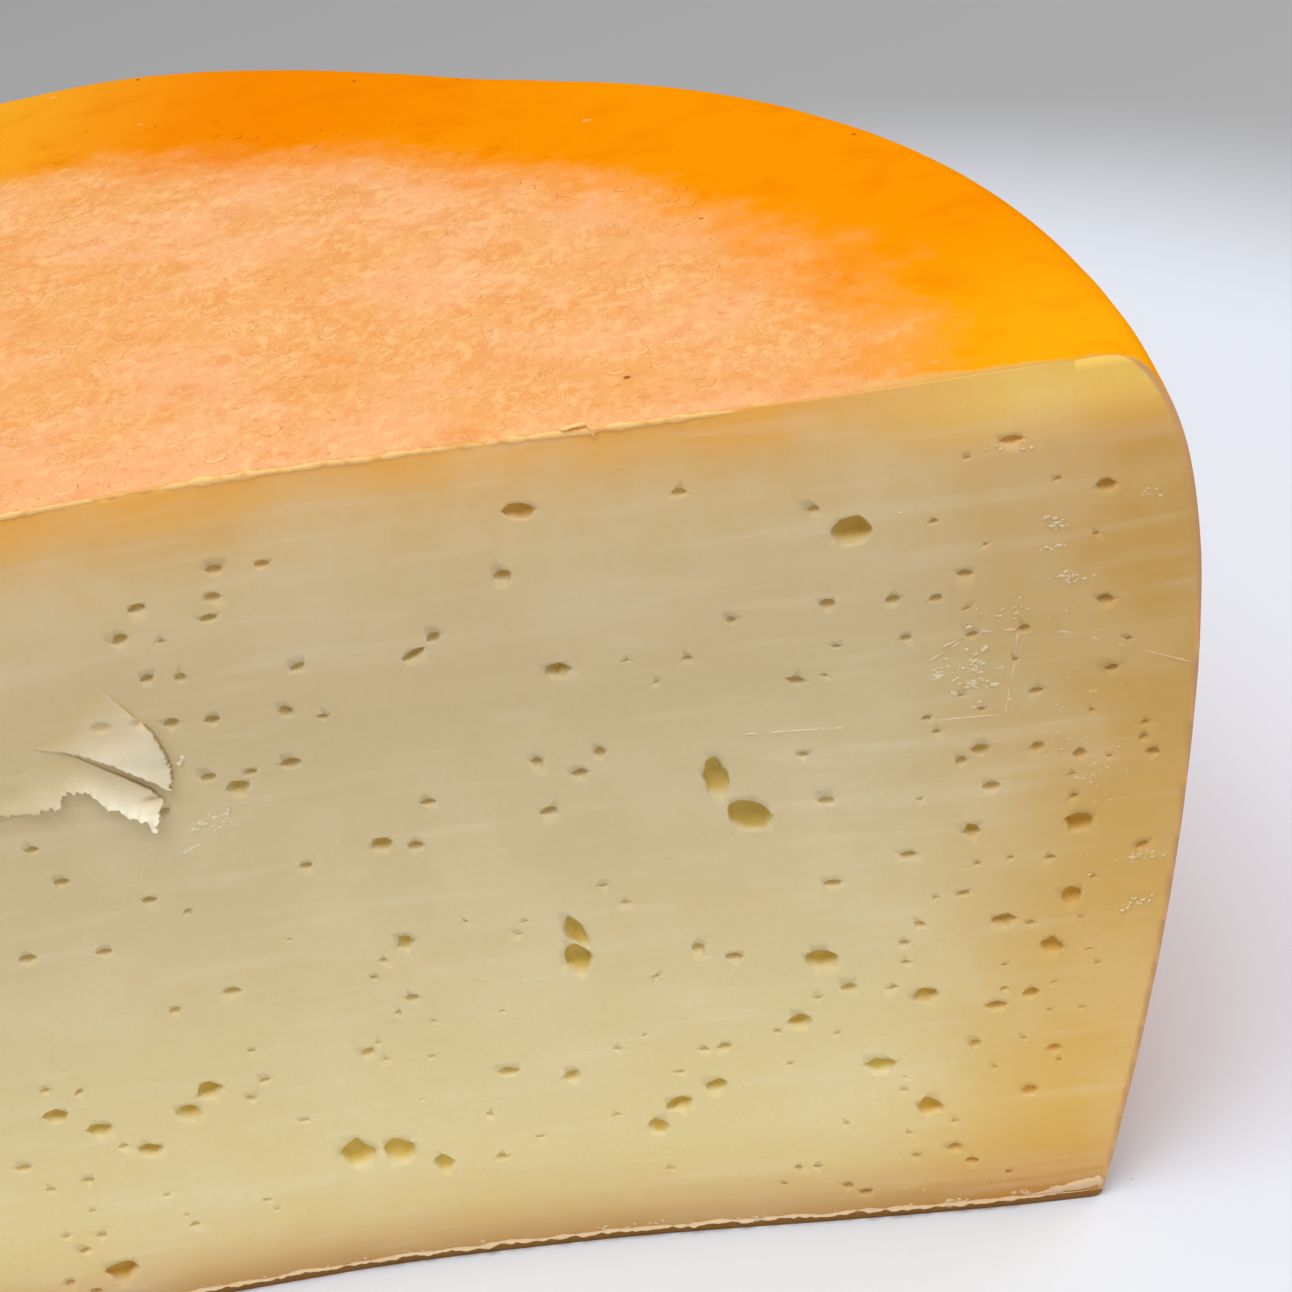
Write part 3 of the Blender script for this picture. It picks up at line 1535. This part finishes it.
@dataclass
class Crumbs:
    """Crumbs of torn paste on the cut face and along its foot."""

    wheel: Wheel
    eyes: list[Eye]
    seed: int = 3
    torn: float = 0.4
    clusters: tuple[Cluster, ...] = (
        Cluster(130.6, 69.2, 2.6, 3.4, 0, 44, 0.5),
        Cluster(127.4, 69.8, 1.6, 1.0, 0, 16, 0.4),
        Cluster(127.0, 69.6, 0.4, 0.4, 0, 3, 0.8),
        Cluster(139.6, 84.4, 1.3, 0.7, -8, 14, 0.45),
        Cluster(139.3, 81.6, 1.6, 0.4, 0, 9, 0.4),
        Cluster(140.6, 78.2, 1.9, 0.7, 0, 20, 0.5),
        Cluster(126.2, 88, 0.7, 0.5, 0, 4, 0.5),
        Cluster(144.6, 45.3, 2.6, 0.7, 0, 18, 0.45),
        Cluster(143.2, 39.2, 1.4, 0.8, 30, 12, 0.45),
        Cluster(148.2, 86, 1.2, 1.2, 0, 8, 0.5),
        Cluster(136.4, 92.6, 1.8, 0.5, 0, 12, 0.4),
        Cluster(134.4, 75.6, 3.4, 1.4, 0, 20, 0.35),
        Cluster(53.2, 63.2, 2.6, 1.4, 24, 28, 0.6),
        Cluster(48.6, 60.2, 3.0, 0.5, 12, 26, 0.6),
        Cluster(51.8, 71.1, 0.5, 0.3, 30, 3, 0.9),
        Cluster(118, 4.0, 18, 1.6, 0, 34, 0.36),
        Cluster(141, 60, 4.0, 18, 0, 60, 0.3),
        Cluster(120.7, 1.3, 1.3, 0.5, 0, 30, 0.6),
        Cluster(128.2, 1.5, 0.7, 0.6, 0, 14, 0.55),
        Cluster(131.4, 1.7, 2.8, 0.6, 12, 26, 0.5),
        Cluster(98.5, 1.2, 1.2, 0.5, 0, 20, 0.5),
        Cluster(70, 1.6, 60, 0.5, 0, 60, 0.4),
    )
    smallest: float = 0.4
    largest: float = 1.2
    sunk: float = 0.1
    off_floor: float = 0.4
    raggedness: float = 0.34
    proud: float = 0.55
    width: Band = (0.8, 2.0)
    height: Band = (0.45, 1.0)
    lean: float = 0.6

    def build(self) -> Piece:
        """Return all the crumbs as one piece."""
        pick = random.Random(self.seed)
        bm = bmesh.new()
        for cluster in self.clusters:
            for _ in range(cluster.count):
                self.add_crumb(bm, cluster, pick)
        piece = Piece("crumbs", bm)
        mark_torn(piece, self.wheel, self.torn)
        return piece

    def add_crumb(self, bm: bmesh.types.BMesh, cluster: Cluster, pick: random.Random) -> None:
        """Add one crumb to the piece.

        Args:
            bm: the piece's shape.
            cluster: where it lies.
            pick: the seeded draw.
        """
        turn = math.radians(cluster.tilt)
        along, up = pick.gauss(0, 0.5) * cluster.spread_x, pick.gauss(0, 0.5) * cluster.spread_z
        x = (cluster.x + along * math.cos(turn) - up * math.sin(turn)) * MM
        z = (cluster.z + along * math.sin(turn) + up * math.cos(turn)) * MM
        size = cluster.size * pick.uniform(self.smallest, self.largest) * MM
        if in_eye(x, z, self.eyes):
            return
        depth = self.wheel.cut_depth(x) + self.sunk * size
        place = Vector((x, depth, max(z, self.off_floor * size)))
        crumb = bmesh.new()
        bmesh.ops.create_icosphere(crumb, subdivisions=2, radius=size / 2)
        ragged(crumb, place * CRUMB_SEED_SPREAD, size, self.raggedness)
        shape = Matrix.Diagonal((pick.uniform(*self.width), self.proud, pick.uniform(*self.height), 1))
        tilt = Matrix.Rotation(pick.uniform(-self.lean, self.lean) - turn, 4, "Y")
        crumb.transform(Matrix.Translation(place) @ tilt @ shape)
        merge(bm, crumb)


@dataclass(frozen=True)
class Ridge:
    """A thin ragged ridge along a path: how tall, how proud and how uneven it is."""

    tall: float
    proud: float
    seed: float
    step: float = 0.3 * MM
    sides: int = 8
    coarse: float = 0.5
    fine: float = 0.55
    droop: float = 0.0
    root: float = 1.0
    droop_length: float = 4 * MM
    coarse_length: float = 8 * MM
    fine_length: float = 1.4 * MM
    fine_layers: int = 3
    usual: float = 0.9
    thinnest: float = 0.12
    tip: float = 0.08
    taper: float = 0.04
    look_ahead: float = 0.01

    def shape(self, path: Callable[[float], Vector], length: float) -> bmesh.types.BMesh:
        """Return the ridge.

        Args:
            path: the place at each share of the way.
            length: how long the path is.

        Returns:
            A closed shape.
        """
        bm = bmesh.new()
        lying = Matrix.Rotation(math.pi / 2, 4, "Y")
        bmesh.ops.create_cone(
            bm, cap_ends=True, segments=self.sides, radius1=1, radius2=1, depth=1, matrix=lying
        )
        along = [edge for edge in bm.edges if abs(edge.verts[0].co.x - edge.verts[1].co.x) > 0.5]
        bmesh.ops.subdivide_edges(bm, edges=along, cuts=int(length / self.step))
        for vertex in bm.verts:
            share = min(max(vertex.co.x + 0.5, 0), 1)
            place = path(share)
            ahead, behind = min(share + self.look_ahead, 1), max(share - self.look_ahead, 0)
            across = (path(ahead) - path(behind)).normalized().cross(Vector((0, 1, 0)))
            swell = self.swell(share, length)
            droop = noise.noise(Vector((share * length / self.droop_length, self.seed, 9))) * self.droop
            tall = vertex.co.z * swell * self.tall / 2 + droop
            proud = vertex.co.y * swell * self.proud
            vertex.co = place - across * tall + Vector((0, proud, 0))
        bmesh.ops.recalc_face_normals(bm, faces=bm.faces)
        return bm

    def swell(self, share: float, length: float) -> float:
        """Return how thick the ridge is.

        Args:
            share: how far along it is, from 0 to 1.
            length: how long the ridge is.

        Returns:
            The thickness as a share of the usual one.
        """
        place = share * length
        coarse = noise.noise(Vector((place / self.coarse_length, self.seed, 0))) * self.coarse
        fine_place = Vector((place / self.fine_length, self.seed, 5))
        fine = noise.fractal(fine_place, 1.0, 2.0, self.fine_layers) * self.fine
        taper = self.tip + (1 - self.tip) * min(1, share / self.taper, (1 - share) / self.taper)
        return max(self.thinnest, self.usual + coarse + fine) * taper * share ** (1 - self.root)


@dataclass
class FootBurr:
    """The thin ragged burr of paste along the foot of the cut, and its thick end."""

    wheel: Wheel
    height: float = 1.25 * MM
    torn: float = 0.45
    burr: Ridge = Ridge(tall=0.28 * MM, proud=0.4 * MM, seed=4, coarse=0.7, fine=1.1, droop=0.45 * MM)
    smear: Ridge = Ridge(
        tall=1.9 * MM, proud=0.35 * MM, seed=8, sides=12, coarse=0.3, fine=0.6, root=0.3
    )
    smear_course: Course = ((128.0, 1.2), (136.8, 2.4))
    short_of_side: float = 0.4 * MM
    stands_out: float = 0.1 * MM

    def build(self) -> Piece:
        """Return the burr as one piece."""
        bm = bmesh.new()
        merge(bm, self.burr.shape(self.foot, 2 * self.reach))
        merge(bm, straight(self.wheel, self.smear, self.smear_course))
        piece = Piece("foot_burr", bm)
        mark_torn(piece, self.wheel, self.torn)
        return piece

    @property
    def reach(self) -> float:
        """Return how far the burr goes to either side."""
        return self.wheel.base_radius - self.short_of_side

    def foot(self, share: float) -> Vector:
        """Return the burr's place at a share of its way."""
        x = (2 * share - 1) * self.reach
        return Vector((x, self.wheel.cut_depth(x) - self.stands_out, self.height))


@dataclass
class RimStrip:
    """The coating's own pale edge along the top of the cut, cracked and curled in places."""

    wheel: Wheel
    reach: float = 116 * MM
    strip: Ridge = Ridge(tall=0.7 * MM, proud=0.22 * MM, seed=12, coarse=0.45, fine=0.5, droop=0.08 * MM)
    curls: tuple[Course, ...] = (
        ((96.4, 100.5), (99.1, 100.9)),
        ((99.0, 100.9), (99.5, 99.2)),
    )
    curl: Ridge = Ridge(tall=0.3 * MM, proud=0.3 * MM, seed=3, fine=0.3)
    torn: float = 1.0
    sunk: float = 0.05 * MM
    below_top: float = 0.32 * MM

    def build(self) -> Piece:
        """Return the strip as one piece."""
        bm = bmesh.new()
        merge(bm, self.strip.shape(self.rim, 2 * self.reach))
        for course in self.curls:
            merge(bm, straight(self.wheel, self.curl, course))
        piece = Piece("rim_strip", bm)
        mark_torn(piece, self.wheel, self.torn)
        return piece

    def rim(self, share: float) -> Vector:
        """Return the strip's place at a share of its way.

        Args:
            share: 0 at its left end and 1 at its right end.

        Returns:
            The place, just below the rim of the cut.
        """
        x = (2 * share - 1) * self.reach
        y = self.wheel.cut_depth(x)
        return Vector((x, y + self.sunk, self.wheel.on_top(x, y).z - self.below_top))


@dataclass
class Scratches:
    """The fine pale lines that the blade and the wrapping scored into the cut."""

    wheel: Wheel
    eyes: list[Eye]
    line: Ridge = Ridge(tall=0.27 * MM, proud=0.05 * MM, seed=6, coarse=1.1, fine=1.3)
    torn: float = 0.25
    courses: tuple[Course, ...] = (
        ((127.6, 72.6), (131.2, 73.8)),
        ((131.0, 73.8), (135.4, 73.4)),
        ((138.6, 72.7), (141.6, 71.6)),
        ((141.4, 71.6), (151.0, 66.8)),
        ((135.0, 73.2), (134.2, 69.4)),
        ((134.3, 69.6), (132.8, 64.2)),
        ((107.5, 65.5), (118.9, 64.9)),
        ((118.5, 64.9), (132.6, 64.2)),
        ((126.2, 71.2), (129.6, 73.0)),
    )

    def build(self) -> Piece:
        """Return the scratches as one piece."""
        bm = bmesh.new()
        for course in self.courses:
            merge(bm, straight(self.wheel, self.line, course, self.eyes))
        piece = Piece("scratches", bm)
        mark_torn(piece, self.wheel, self.torn)
        return piece


@dataclass
class Blisters:
    """The low dished blisters that dried in the coating of the top."""

    wheel: Wheel
    seed: int = 7
    count: int = 1000
    smallest: float = 0.9 * MM
    largest: float = 2.5 * MM
    rise: float = 0.11 * MM
    reach: float = 128 * MM
    dish: float = 0.75
    dish_width: float = 0.6
    flattest: float = 0.7
    palest: float = 1.0
    faintest: float = 0.1
    ring_radius: float = 0.85
    ring_width: float = 0.3
    ring_level: float = 0.6
    ring_lean: float = 0.4
    ragged_size: float = 0.7 * MM
    raggedness: float = 0.12

    def build(self) -> Piece:
        """Return all the blisters as one piece."""
        pick = random.Random(self.seed)
        bm = bmesh.new()
        rings: list[float] = []
        placed = 0
        while placed < self.count:
            radius = self.reach * math.sqrt(pick.random())
            angle = pick.uniform(0, math.pi)
            x, y = radius * math.cos(angle), radius * math.sin(angle)
            width = self.smallest + (self.largest - self.smallest) * pick.random() ** 2
            if y > self.wheel.cut_depth(x) + width:
                rings += self.add_blister(bm, self.wheel.on_top(x, y), width, pick)
                placed += 1
        piece = Piece("blisters", bm)
        piece.mark("ring", np.array(rings))
        points = piece.corners()
        piece.mark("hollow", points[:, 1] - self.wheel.face_depths(points[:, 0]))
        return piece

    def add_blister(
        self, bm: bmesh.types.BMesh, place: Vector, width: float, pick: random.Random
    ) -> list[float]:
        """Add one blister to the piece.

        Args:
            bm: the piece's shape.
            place: its place on the top.
            width: how wide it is.
            pick: the seeded draw.

        Returns:
            How pale each of its corners is: its ring is, most of all in front.
        """
        single = bmesh.new()
        bmesh.ops.create_uvsphere(single, u_segments=12, v_segments=6, radius=1)
        for vertex in single.verts:
            out = vertex.co.to_2d().length
            vertex.co.z *= 1 - self.dish * math.exp(-((out / self.dish_width) ** 2))
        size = Matrix.Diagonal((width / 2, width / 2 * pick.uniform(self.flattest, 1.0), self.rise, 1))
        turn = Matrix.Rotation(pick.uniform(0, math.pi), 4, "Z")
        palest = self.palest * pick.uniform(self.faintest, 1)
        outs = [vertex.co.to_2d().length for vertex in single.verts]
        single.transform(Matrix.Translation(place) @ turn @ size)
        rings = []
        for out, vertex in zip(outs, single.verts):
            on_ring = max(0, 1 - abs(out - self.ring_radius) / self.ring_width)
            behind = (vertex.co.y - place.y) / (width / 2)
            rings.append(palest * on_ring * (self.ring_level - self.ring_lean * behind))
            push = noise.noise_vector(vertex.co / self.ragged_size) * self.raggedness * width
            vertex.co += Vector((push.x, push.y, 0))
        merge(bm, single)
        return rings


@dataclass(frozen=True)
class FloorFinish:
    """The floor: nearly white round the cheese, grey behind it, white far off."""

    near: Colour = srgb(225, 230, 240)
    middle: Colour = srgb(170, 170, 171)
    far: Colour = srgb(252, 252, 252)
    greying: Band = (0.235, 0.34)
    whitening: Band = (1.2, 5.0)

    def material(self) -> bpy.types.Material:
        """Return the floor's material."""
        sheet = NodeSheet("pale_floor", Vector((0, 0, 0)))
        away = sheet.span("LENGTH")
        colour = sheet.mix(sheet.step(away, *self.greying), self.near, self.middle)
        colour = sheet.mix(sheet.step(away, *self.whitening), colour, self.far)
        sheet.set(Base_Color=colour, Roughness=0.6, Specular_IOR_Level=0.2)
        return sheet.material


class Lamp(Enum):
    """The studio's soft lamps: place, half size and strength."""

    KEY = ((0.0, -0.4, 1.2), 0.4, 9.0)
    FILL = ((0.5, -1.1, 0.45), 0.5, 1.1)
    SIDE = ((1.0, 0.45, 0.75), 0.4, 3.2)


@dataclass(frozen=True)
class Viewpoint:
    """The camera's place, measured from the wheel's axis on the floor."""

    target: tuple[float, float, float] = (100.3 * MM, 0.0, 78.4 * MM)
    azimuth: float = math.radians(6.62)
    elevation: float = math.radians(30.24)
    roll: float = math.radians(-12.29)
    distance: float = 226.4 * MM
    lens: float = 66.87
    sensor: float = 36.0
    nearest: float = 10 * MM


@dataclass
class Studio:
    """The floor, the lamps, the sky and the camera."""

    offset: Vector
    viewpoint: Viewpoint = field(default_factory=Viewpoint)
    floor_size: float = 30.0
    sky: Colour = (1.0, 1.0, 1.0, 1.0)
    sky_strength: float = 0.5
    lamps_aim: tuple[float, float, float] = (0.0, 0.0, 0.05)

    def build(self) -> None:
        """Set the whole studio up."""
        self.add_floor()
        self.add_sky()
        for lamp in Lamp:
            self.add_lamp(lamp)
        self.add_camera()

    def add_floor(self) -> None:
        """Lay the floor that the cheese rests on."""
        bm = bmesh.new()
        bmesh.ops.create_grid(bm, x_segments=1, y_segments=1, size=self.floor_size)
        mesh = bpy.data.meshes.new("floor")
        bm.to_mesh(mesh)
        bm.free()
        floor = bpy.data.objects.new("floor", mesh)
        mesh.materials.append(FloorFinish().material())
        bpy.context.scene.collection.objects.link(floor)

    def add_sky(self) -> None:
        """Surround the scene with an even soft light."""
        world = bpy.data.worlds.new("studio")
        world.use_nodes = True
        background = world.node_tree.nodes["Background"]
        background.inputs["Color"].default_value = self.sky
        background.inputs["Strength"].default_value = self.sky_strength
        bpy.context.scene.world = world

    def add_lamp(self, lamp: Lamp) -> None:
        """Hang one soft square lamp, aimed at the cheese.

        Args:
            lamp: which of the lamps.
        """
        place, size, strength = lamp.value
        data = bpy.data.lights.new(lamp.name.lower(), "AREA")
        data.size = 2 * size
        data.energy = strength
        obj = bpy.data.objects.new(data.name, data)
        obj.location = place
        obj.visible_camera = False
        aim = Vector(self.lamps_aim) - Vector(place)
        obj.rotation_euler = aim.to_track_quat("-Z", "Y").to_euler()
        bpy.context.scene.collection.objects.link(obj)

    def add_camera(self) -> None:
        """Stand the camera where the close view of the cut is seen from."""
        eye = self.viewpoint
        level, rise = math.cos(eye.elevation), math.sin(eye.elevation)
        back = Vector((math.sin(eye.azimuth) * level, -math.cos(eye.azimuth) * level, rise))
        right = Vector((math.cos(eye.azimuth), math.sin(eye.azimuth), 0))
        up = back.cross(right)
        rolled_right = math.cos(eye.roll) * right + math.sin(eye.roll) * up
        rolled_up = math.cos(eye.roll) * up - math.sin(eye.roll) * right
        turn = Matrix((rolled_right, rolled_up, back)).transposed()
        place = Vector(eye.target) + back * eye.distance + self.offset
        data = bpy.data.cameras.new("camera")
        data.lens = eye.lens
        data.sensor_width = eye.sensor
        data.clip_start = eye.nearest
        camera = bpy.data.objects.new("camera", data)
        camera.matrix_world = Matrix.Translation(place) @ turn.to_4x4()
        bpy.context.scene.collection.objects.link(camera)
        bpy.context.scene.camera = camera


def row_offset(body: Piece) -> Vector:
    """Return the way from the wheel's own frame to the row's frame.

    Args:
        body: the half wheel, still in its own frame.

    Returns:
        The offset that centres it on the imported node.
    """
    low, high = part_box(NODE)
    points = body.corners()
    middle = (points.min(axis=0) + points.max(axis=0)) / 2
    return Vector(((low.x + high.x) / 2 - float(middle[0]), (low.y + high.y) / 2 - float(middle[1]), 0))


def main() -> None:
    """Build the half wheel, its torn paste and the studio."""
    logging.basicConfig(level=logging.INFO, format="%(name)s: %(message)s")
    bpy.context.scene.view_settings.view_transform = "Standard"
    noise.seed_set(NOISE_SEED)
    wheel = Wheel()
    half = HalfWheel(wheel)
    body = half.build()
    offset = row_offset(body)
    rind = RindFinish().material(wheel, offset)
    paste = PasteFinish().material(wheel, offset)
    body.settle(offset, [rind, paste])
    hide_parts(NODE)
    eyes = half.eyes()
    flap = TornFlap(wheel, half.cut_surface)
    for torn_piece in (flap, Crumbs(wheel, eyes), FootBurr(wheel), Scratches(wheel, eyes)):
        torn_piece.build().settle(offset, [paste])
    RimStrip(wheel).build().settle(offset, [StripFinish().material(offset)])
    Blisters(wheel).build().settle(offset, [rind])
    Studio(offset).build()


if __name__ == "__main__":
    main()
